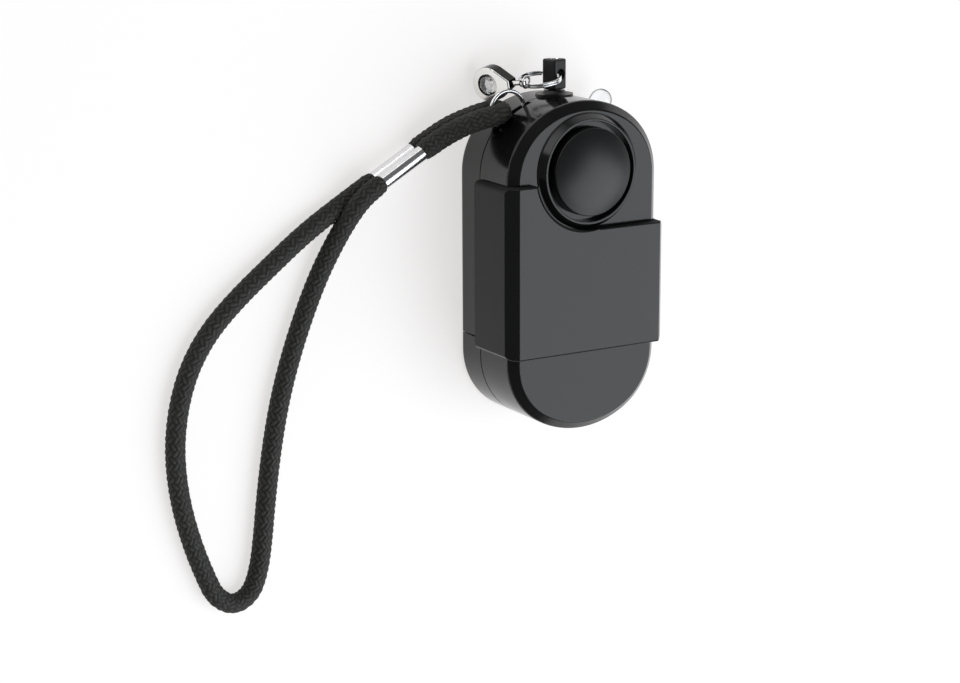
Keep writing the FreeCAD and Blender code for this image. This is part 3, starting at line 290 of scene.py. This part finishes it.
def braid_height(turn, reach):
    """How high the braid stands, 0 to 1: strands of two slants that float over two others."""
    rising = turn * strands_round + reach / stitch_length
    falling = turn * strands_round - reach / stitch_length
    order = (math.floor(rising) - math.floor(falling)) % 4
    if order < 2:
        across, along = rising % 1, (1 - order + falling % 1) / 2
    else:
        across, along = falling % 1, (order - 2 + rising % 1) / 2
    bow = crossing_height + (1 - crossing_height) * math.sin(math.pi * along) ** along_power
    return math.sin(math.pi * across) ** across_power * bow


def braided_cord(name, node, route, paint, folded=False):
    """A mesh tube with the braid's strands in relief, and the line that it follows. Where a cord is
    folded, its two strands are pressed flat on each other behind the fold."""
    line = even_line(smooth_line(name, route), row_step)
    last = len(line) - 1
    places = []
    heights = []
    for row, (place, side, top) in enumerate(frames_along(line, (0, 0, 1))):
        from_sleeve = min(row, last - row) * row_step
        free = 1 - (1 - min(from_sleeve / pinch_length, 1)) ** 2
        full_radius = pinched_radius + (cord_radius - pinched_radius) * free
        partner = line[last - row] - place
        from_fold = abs(row - last / 2) * row_step
        pressed = min(max((from_fold - fold_length) / fold_length, 0), 1) if folded else 0
        reach = full_radius + (partner.length / 2 - full_radius) * pressed
        for step in range(points_round):
            turn = step / points_round
            height = braid_height(turn, row * row_step)
            angle = 2 * math.pi * turn
            spoke = side * math.cos(angle) + top * math.sin(angle)
            facing = spoke.dot(partner.normalized()) if pressed else 0
            radius = full_radius
            if facing > 0:
                flat_part = (facing / reach) ** flatness
                round_part = ((1 - facing * facing) ** 0.5 / full_radius) ** flatness
                radius = (flat_part + round_part) ** (-1 / flatness)
            places.append(place + spoke * (radius - strand_relief * (1 - height)))
            heights.append(height)
    mesh = tube(name, places, points_round)
    rise = mesh.attributes.new("rise", "FLOAT", "POINT")
    rise.data.foreach_set("value", heights)
    piece = add_piece(name, mesh, paint, "strap", "cord_braid", node)
    length = sum((after - before).length for before, after in zip(line, line[1:]))
    return piece, line, length


# Painted shade: where the braid stands low, in the valleys between the strands, the cord is painted
# near black as the shade that falls there.
cord_valley_painted_shade = (0.003, 0.003, 0.0027)
cord_dark = (0.016, 0.016, 0.014)
cord_pale = (0.066, 0.065, 0.056)
nylon = Paint("nylon_braid", roughness=0.62, sheen_weight=0.15, sheen_roughness=0.4)
# This mask of the braid's rise picks the painted valley shade where the braid stands low.
valley_shade_mask = nylon.ramp(nylon.node("Attribute", {"attribute_name": "rise"}, {}, "Fac"), 0.1, 0.8)
nylon_fibre = nylon.noise(5200, 3)
nylon_patch = nylon.ramp(nylon.noise(1300), 0.3, 0.7)
nylon_colour = nylon.blend(nylon_fibre * 0.4 + nylon_patch * 0.6, cord_dark, cord_pale)
nylon.set(base_color=nylon.blend(valley_shade_mask, cord_valley_painted_shade, nylon_colour),
          roughness=0.55 + nylon_fibre * 0.3,
          normal=nylon.bump(nylon_fibre, 0.05 * mm, 0.6))

bight, bight_line, bight_length = braided_cord("braided_bight", "strap_bight", bight_route, nylon,
                                                True)
loop, loop_line, loop_length = braided_cord("braided_loop", "strap_loop", loop_route, nylon)

# The sleeve is a short nickel-plated tube. It was pressed flat between the two strands to hold
# them, so that fine lines run along it.
sleeve_turn = (0, 0, math.radians(29.86))
sleeve_stretch = (14, 1, 1)
sleeve_paint = Paint("nickel_sleeve", metallic=1, base_color=(0.78, 0.78, 0.79))
sleeve_spread = sleeve_paint.node("Mapping", {"vector_type": "TEXTURE"}, {
    "Vector": sleeve_paint.place(), "Rotation": sleeve_turn, "Scale": sleeve_stretch})
sleeve_lines = sleeve_paint.node("TexNoise", {}, {
    "Vector": sleeve_spread, "Scale": 3800, "Detail": 2})
sleeve_cloud = sleeve_paint.noise(420)
sleeve_paint.set(roughness=0.12 + sleeve_lines * 0.12 + sleeve_cloud * 0.08,
                 normal=sleeve_paint.bump(sleeve_lines, 0.01 * mm, 0.5))
finish_nodes(sleeve_paint, "strap_ferrule")

# The strap's ring, the pin's rod and the stud on top of it are steel with a bright chrome plate.
# The ring was bent from wire, and the rod is pressed into the pin's head.
plate_relief = 0.006 * mm
plate_strength = 0.4
chrome = Paint("chrome_plate", metallic=1, base_color=(0.86, 0.87, 0.88))
chrome_cloud = chrome.noise(900, 3)
chrome.set(roughness=0.05 + chrome_cloud * 0.08,
           normal=chrome.bump(chrome_cloud, plate_relief, plate_strength))
finish_nodes(chrome, "strap_ring", "pin_stud", "pin_rod")


# The split ring is two turns of flattened spring wire. Its ends lie against the other turn, and a
# short slant leads from one turn to the next. It hangs loose in the hole of the pin's head.
def swept(name, line, outline, start_side):
    """A closed mesh: an outline of side and top offsets carried along a line."""
    places = [place + side * across + top * up
              for place, side, top in frames_along(line, start_side) for across, up in outline]
    return tube(name, places, len(outline))


def squared(value, power):
    """A sine or cosine that stays large for longer, which makes a squarer circle."""
    return math.copysign(abs(value) ** power, value)


split_hole = Vector((0.148, 37.6, 8.276)) * mm
split_radius = 4.3 * mm
split_tilt = math.radians(5)
split_yaw = math.radians(9)
split_hang = math.radians(10)
split_start = math.radians(40)
split_closing = 0.985
slant_start = 0.95
slant_share = 0.1
turn_steps = 140
wire_half_width = 0.27 * mm
wire_half_height = 0.25 * mm
split_across = Vector((math.cos(split_yaw) * math.cos(split_hang), math.sin(split_hang),
                       -math.sin(split_yaw) * math.cos(split_hang)))
split_axis = Vector((0, math.cos(split_tilt), math.sin(split_tilt)))
split_axis = (split_axis - split_across * split_axis.dot(split_across)).normalized()
split_up = split_axis.cross(split_across)
split_middle = split_hole - split_across * split_radius
split_line = []
for step in range(2 * turn_steps + 1):
    turn = step / turn_steps
    slant = min(max((turn - slant_start) / slant_share, 0), 1)
    lift = (slant * slant * (3 - 2 * slant) - 0.5) * 2 * wire_half_height
    angle = 2 * math.pi * (turn * split_closing) + split_start
    spoke = split_across * math.cos(angle) + split_up * math.sin(angle)
    split_line.append(split_middle + split_axis * lift + spoke * split_radius)
wire_outline = [(wire_half_height * squared(math.cos(angle), 0.7),
                 wire_half_width * squared(math.sin(angle), 0.9)) for angle in circle(16)]
add_piece("wire_split_ring", swept("wire_split_ring", split_line, wire_outline, split_axis), chrome,
          "key_ring", "polished_metal", "split_ring")


# The charm is a thick drop of chromed zinc on a small ring. Its face is bright chrome, and its side
# is painted nearly black as painted shade. It hangs a little lower than the solids, because the
# split ring sags.
def sagged(name, node, paint, body):
    """A copy of a solid of the frame, lower by the sag."""
    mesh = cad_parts[node].data.copy()
    mesh.materials.clear()
    mesh.transform(Matrix.Translation(charm_sag))
    add_piece(name, mesh, paint, body, "polished_metal", node)


charm_sag = Vector((0, -0.7, 0)) * mm
stone_axis = Vector((-0.844, -0.144, 0.517)).normalized()
# Painted shade: the charm's side is painted nearly black for the dark that its chrome reflects, and
# only its face keeps the bright chrome.
charm_side_painted_shade = (0.010, 0.010, 0.009)
charm_bright = (0.80, 0.80, 0.77)
charm_chrome_painted_side = Paint("charm_chrome_painted_side", metallic=1)
charm_side_shade_mask = charm_chrome_painted_side.ramp(charm_chrome_painted_side.facing(stone_axis), 0.35, 0.6)
charm_cloud = charm_chrome_painted_side.noise(700, 3)
charm_chrome_painted_side.set(base_color=charm_chrome_painted_side.blend(charm_side_shade_mask, charm_side_painted_shade, charm_bright),
                roughness=0.1 + charm_cloud * 0.08,
                normal=charm_chrome_painted_side.bump(charm_cloud, plate_relief, plate_strength))
sagged("drop_charm", "charm", charm_chrome_painted_side, "pendant")
sagged("wire_link", "charm_link", chrome, "key_ring")

# The charm's stone is a round cut glass stone, set in the drop: a flat table, kite facets whose
# corners lie on every second point, and a girdle. Each ring of points has a radius and a level in
# millimetres, and a turn in points.
girdle_low = (2.12, -0.52, 0.0)
girdle_high = (2.12, -0.25, 0.0)
crown = (1.72, 0.22, 0.5)
table = (1.25, 0.52, 0.0)
stone_count = 16
facet_lean = 0.94
stone_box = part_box("charm_stone")
stone_middle = (Vector(stone_box[0]) + Vector(stone_box[1])) / 2 + charm_sag
stone_side = stone_axis.cross(Vector((0, 0, 1))).normalized()
stone_top = stone_axis.cross(stone_side)
stone_places = []
for ring in (girdle_low, girdle_high, crown, table):
    radius, level, shift = ring
    for step in range(stone_count):
        angle = 2 * math.pi * (step + shift) / stone_count
        lean = facet_lean if step % 2 and ring in (crown, table) else 1.0
        spoke = stone_side * math.cos(angle) + stone_top * math.sin(angle)
        stone_places.append(stone_middle + stone_axis * level * mm + spoke * radius * lean * mm)
stone_faces = [tuple(reversed(range(stone_count)))]
for low in (0, stone_count, 2 * stone_count):
    high = low + stone_count
    for step in range(stone_count):
        after = (step + 1) % stone_count
        if low == 0:
            stone_faces.append((low + step, low + after, high + after, high + step))
        else:
            stone_faces.append((low + step, low + after, high + step))
            stone_faces.append((low + after, high + after, high + step))
stone_faces.append(tuple(range(3 * stone_count, 4 * stone_count)))
glass = Paint("cut_glass", transmission_weight=1.0, ior=1.9, base_color=(0.97, 0.98, 1.0))
glass.set(roughness=0.01 + glass.noise(2500) * 0.03)
add_piece("cut_stone", mesh_of("cut_stone", stone_places, stone_faces, smooth=False), glass,
          "pendant", "stone_glass", "charm_stone")


# The case is moulded in black ABS from a polished tool, in two halves and a battery cover, and
# screws from the back hold the halves. It is glossy, with a faint waviness and a few hairline rubs
# that only show in its reflections.
def gloss_plastic(name, colour, rough, wave, matt_ways=()):
    """A glossy black with a relief of so many metres. It is less glossy where it looks a matt way,
    which is a direction, where on the way to it that begins and is full, and its roughness."""
    paint = Paint(name, base_color=colour, ior=1.45)
    cloud = paint.noise(60)
    grain = paint.noise(3600, 3)
    rubs = paint.ramp(paint.noise(900, 4, (1, 0.06, 1)), 0.62, 0.72)
    rough = rough + cloud * 0.05 + rubs * 0.05
    for way, begins, full, matt in matt_ways:
        rough = rough + paint.ramp(paint.facing(way), begins, full) * matt
    return paint.set(base_color=paint.blend(cloud, colour, tuple(value * 1.35 for value in colour)),
                     roughness=rough,
                     normal=paint.bump(cloud * 0.85 + grain * 0.15, wave, 0.35))


case_plastic = gloss_plastic("case_plastic", (0.0065, 0.0065, 0.0065), rough=0.12, wave=0.05 * mm)
finish_nodes(case_plastic, "front_shell", "rear_shell", "battery_cover", "bezel_ring",
             "switch_knob")


# The front cover is a second black moulding, which wraps round the case. Its round cut-out clears
# the lens ring with a slanted edge and a narrow lip, a fine line runs along its lower edge, and its
# right wall is thinner than the left one. Its walls and the steps that face the top end are matt.
def sharpen(mesh):
    """Smooth shading, apart from real edges."""
    for polygon in mesh.polygons:
        polygon.use_smooth = True
    mesh.set_sharp_from_angle(angle=crease)


def add_cutter(places, count):
    """A body for a boolean cut, from the rows of points of a tube."""
    cutter = bpy.data.objects.new("cutter", tube("cutter", places, count))
    bpy.context.collection.objects.link(cutter)
    return cutter


wall_matt = 0.4
step_matt = 0.6
cover_matt = [((1, 0, 0), 0.85, 0.95, wall_matt), ((-1, 0, 0), 0.85, 0.95, wall_matt),
              ((0, 1, 0), 0.3, 0.6, step_matt)]
cover_plastic = gloss_plastic("cover_plastic", (0.0075, 0.0078, 0.008), rough=0.15,
                              wave=0.04 * mm, matt_ways=cover_matt)
cover_low, cover_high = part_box("front_cover")
cover_back = cover_low.z
cover_face = cover_high.z
slope_low = cover_face - 3.3 * mm
slope_high = cover_face - 0.3 * mm
slope_lift = 0.93 * mm
slope_inset = 0.36 * mm
slope_reach = 1.5 * mm
case_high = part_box("front_shell")[1]
case_face = case_high.z
case_side = case_high.x
face_slack = 0.05 * mm
side_slack = 0.03 * mm
wall_thinning = 0.7 * mm
wall_reach = 1.0 * mm
crease = math.radians(15)
weld_reach = 0.002 * mm

cover_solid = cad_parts["front_cover"].data
cover_places = []
for vertex in cover_solid.vertices:
    place = vertex.co.copy()
    outside = abs(place.x) > case_side + side_slack
    if outside or place.z > case_face + face_slack:
        up_slope = min(max((place.z - slope_low) / (slope_high - slope_low), 0), 1)
        up_wall = min((place.z - cover_back) / (slope_low - cover_back), 1)
        if place.x > case_side - wall_reach:
            place.x -= wall_thinning
        if abs(place.x) > case_side - slope_reach:
            place.x -= math.copysign(slope_inset * up_slope, place.x)
        if outside:
            place.z += slope_lift * (up_wall - up_slope)
    cover_places.append(place)
cover_faces = [tuple(polygon.vertices) for polygon in cover_solid.polygons]
cover = add_piece("wrap_cover", mesh_of("wrap_cover", cover_places, cover_faces), cover_plastic,
                  "case", "cover_plastic", "front_cover")

cut_middle = Vector((-1.1, 19.85, 0)) * mm
cut_radius = 11.37 * mm
cut_lip = 0.18 * mm
cut_slant = 0.55 * mm
cut_drop = 0.35 * mm
cut_steps = 128
lip_radius = cut_radius + cut_lip
edge_radius = lip_radius + cut_slant
cut_profile = [(cut_radius, case_face - mm), (cut_radius, cover_face - cut_drop),
               (lip_radius, cover_face - cut_drop), (edge_radius, cover_face),
               (edge_radius, cover_face + mm)]
cut_out = [cut_middle + Vector((radius * math.cos(angle), radius * math.sin(angle), level))
           for radius, level in cut_profile for angle in circle(cut_steps)]

line_low = cover_low.y + 0.02 * mm
line_width = 0.3 * mm
line_depth = 0.11 * mm
line_high = line_low + line_width
line_outline = [(line_low, cover_face), (line_high, cover_face - line_depth),
                (line_high, cover_face + mm), (line_low, cover_face + mm)]
edge_line = [Vector((across, along, level))
             for across in (-case_side, case_side) for along, level in line_outline]

weld = cover.modifiers.new("weld", "WELD")
weld.merge_threshold = weld_reach
cutters = [add_cutter(cut_out, cut_steps), add_cutter(edge_line, len(line_outline))]
for cutter in cutters:
    cut = cover.modifiers.new("cut", "BOOLEAN")
    cut.object = cutter
    cut.operation = "DIFFERENCE"
bpy.context.view_layer.update()
cut_cover = cover.evaluated_get(bpy.context.evaluated_depsgraph_get())
cover.data = bpy.data.meshes.new_from_object(cut_cover)
cover.modifiers.clear()
for cutter in cutters:
    bpy.data.objects.remove(cutter)
sharpen(cover.data)

# The pull pin's head and the guide that it stands in are moulded in a less glossy black ABS. The
# head is turned a little on its rod, and pulls the rod out of the guide to set off the siren.
pin_plastic = gloss_plastic("pin_plastic", (0.010, 0.010, 0.010), rough=0.36, wave=0.05 * mm)
finish_nodes(pin_plastic, "pull_pin", "pin_collar")

# The lens is the dome over the motion sensor, moulded in a dark smoked plastic that lets heat
# through. It is smooth outside, and its retainer holds it in the case from inside.
lens_plastic = Paint("smoked_lens", base_color=(0.004, 0.0043, 0.005), ior=1.5)
lens_cloud = lens_plastic.noise(90)
lens_plastic.set(roughness=0.36 + lens_cloud * 0.05,
                 normal=lens_plastic.bump(lens_cloud, 0.02 * mm, 0.3))
finish_nodes(lens_plastic, "dome_lens")

# The lamp is clear resin cast round a small metal cup. Its rim is painted dark as painted shade,
# for the black case that it bends into view. Its two leads hold it on the board.
# Painted shade: the resin's colour is painted dark at the rim, where its surface turns away from
# the view.
resin_clear = (0.98, 0.99, 1.0)
resin_rim_painted_shade = (0.05, 0.05, 0.05)
clear_resin = Paint("clear_resin", transmission_weight=1.0, ior=1.5)
resin_rim_shade_mask = clear_resin.ramp(
    clear_resin.node("LayerWeight", {}, {"Blend": 0.5}, "Facing"), 0.4, 0.66)
clear_resin.set(base_color=clear_resin.blend(resin_rim_shade_mask, resin_clear, resin_rim_painted_shade),
                roughness=0.02 + clear_resin.noise(800) * 0.03)
finish_nodes(clear_resin, "lamp")


# Inside the case the lens's retainer, the battery holder, the switch and the siren's ring are
# mouldings in matt black plastic, straight from the tool. The sensor's window is a dark filter.
def grained(name, scale, low, high, rough, span, depth, strength, metallic=0, stretch=(1, 1, 1)):
    """A finish whose colour, roughness and relief all follow the same noise."""
    paint = Paint(name, metallic=metallic)
    grain = paint.noise(scale, 3, stretch)
    return paint.set(base_color=paint.blend(grain, low, high), roughness=rough + grain * span,
                     normal=paint.bump(grain, depth, strength))


inner_plastic = grained("inner_plastic", 2600, (0.016, 0.016, 0.017), (0.024, 0.024, 0.025),
                        rough=0.45, span=0.15, depth=0.02 * mm, strength=0.5)
finish_nodes(inner_plastic, "lens_retainer", "battery_holder", "switch_body", "sounder_ring",
             "sensor_window")

# The circuit board is glass-reinforced epoxy under a green solder mask, and its copper tracks
# stand up a little under the mask.
board_dark = (0.012, 0.11, 0.035)
board_pale = (0.02, 0.17, 0.06)
track_scale = 420
track_gap = 0.06
board_mask = Paint("green_solder_mask")
tracks = board_mask.ramp(board_mask.node("TexBrick", {"offset": 0.5}, {
    "Vector": board_mask.place(), "Scale": track_scale, "Mortar Size": track_gap,
    "Color1": (1, 1, 1), "Color2": (1, 1, 1), "Mortar": (0, 0, 0)}, "Fac"), 0.4, 0.6)
board_mask.set(base_color=board_mask.blend(tracks, board_dark, board_pale),
               roughness=0.32 + board_mask.noise(1200) * 0.1,
               normal=board_mask.bump(tracks, 0.03 * mm, 0.6))
finish_nodes(board_mask, "circuit_board")

# The chip and the small parts on the board are moulded in black epoxy resin, and the coil's core
# is a dark ferrite. All of them are soldered to the board.
chip_resin = grained("chip_resin", 5000, (0.014, 0.014, 0.015), (0.03, 0.03, 0.032),
                     rough=0.5, span=0.2, depth=0.02 * mm, strength=0.6)
finish_nodes(chip_resin, "controller_chip", "capacitor", "resistors", "coil_core")

# The coil's winding is enamelled copper wire, laid turn beside turn round its core, and is painted
# darker in the low bands between the turns, as painted shade. The lamp's leads are copper too.
winding_scale = 1600
# Painted shade: the copper is painted darker in the low bands of the winding, between the turns.
copper_groove_painted_shade = (0.34, 0.09, 0.03)
copper_bright = (0.75, 0.27, 0.12)
copper = Paint("enamelled_copper", metallic=1)
copper_wire = copper.node("TexWave", {"bands_direction": "Z"}, {
    "Vector": copper.place(), "Scale": winding_scale, "Distortion": 0.3, "Detail": 1}, "Fac")
copper.set(base_color=copper.blend(copper_wire, copper_groove_painted_shade, copper_bright),
           roughness=0.25 + copper_wire * 0.1, normal=copper.bump(copper_wire, 0.06 * mm, 0.9))
finish_nodes(copper, "coil_winding", "lamp_leads")

# The siren's plate is rolled brass, and its disc is a ceramic with a layer of fired silver. The
# disc is glued to the plate, and the plate to its ring.
brass = grained("rolled_brass", 700, (0.62, 0.42, 0.15), (0.78, 0.57, 0.25), rough=0.28,
                span=0.12, depth=0.01 * mm, strength=0.4, metallic=1, stretch=(1, 6, 1))
finish_nodes(brass, "piezo_plate")
ceramic = grained("fired_silver", 3000, (0.48, 0.46, 0.42), (0.62, 0.6, 0.56),
                  rough=0.5, span=0.15, depth=0.01 * mm, strength=0.5)
finish_nodes(ceramic, "piezo_disc")

# The contacts, the trigger's leaves, the strap's post, the sensor's can, the cells and the screws
# are steel with a thin zinc or nickel plate.
steel = grained("zinc_plated_steel", 1100, (0.46, 0.46, 0.45), (0.6, 0.6, 0.58), rough=0.24,
                span=0.14, depth=0.01 * mm, strength=0.5, metallic=1)
finish_nodes(steel, "strap_post", "trigger_leaves", "contact_spring", "contact_plate",
             "case_screws", "motion_sensor", "cells")


# The studio: a white floor in a dim room, a large soft panel over the right of the alarm that its
# front mirrors, and a low strip beyond its top end. The dim room keeps the chamfers black.
def soft_panel(name, place, width, height, radiance, tint=(1, 1, 1)):
    """A soft box that faces the alarm and whose face has a given brightness."""
    light = bpy.data.lights.new(name, "AREA")
    light.color = tint
    light.shape = "RECTANGLE"
    light.size = width
    light.size_y = height
    light.energy = radiance * math.pi * width * height
    lamp = bpy.data.objects.new(name, light)
    lamp.location = place
    lamp.rotation_euler = (-Vector(place)).to_track_quat("-Z", "Y").to_euler()
    bpy.context.collection.objects.link(lamp)


soft_panel("key_panel", (0.56, -0.47, 0.83), width=1.4, height=1.4, radiance=2.3,
           tint=(0.95, 0.99, 1.02))
soft_panel("low_strip", (-0.75, 1.1, 0.32), width=1.4, height=0.35, radiance=1.8)

black = (0, 0, 0)
white = (1, 1, 1)
floor_reach = 3.0
floor_shade = (0.5, 0.5, 0.5)
floor_glow = (0.67, 0.655, 0.65)
floor_paint = Paint("white_floor", base_color=floor_shade, roughness=0.9, specular_ior_level=0.1,
                    emission_strength=1.0)
seen_by = ("Is Camera Ray", "Is Glossy Ray", "Is Transmission Ray")
seen = sum((floor_paint.node("LightPath", {}, {}, ray) for ray in seen_by), 0.0)
floor_paint.set(emission_color=floor_paint.blend(seen, black, floor_glow))
floor_corners = [(-floor_reach, -floor_reach, 0), (floor_reach, -floor_reach, 0),
                 (floor_reach, floor_reach, 0), (-floor_reach, floor_reach, 0)]
floor_mesh = mesh_of("floor", floor_corners, [(0, 1, 2, 3)], smooth=False)
floor_mesh.materials.append(floor_paint.material)
floor = bpy.data.objects.new("floor", floor_mesh)
bpy.context.collection.objects.link(floor)

room_shade = (0.14, 0.14, 0.14)
world = bpy.data.worlds.new("room")
bpy.context.scene.world = world
world.use_nodes = True
room = Nodes(world.node_tree)
room_seen = room.node("LightPath", {}, {}, "Is Camera Ray")
room.feed(room.tree.nodes["Background"], {"Color": room.blend(room_seen, room_shade, white)})
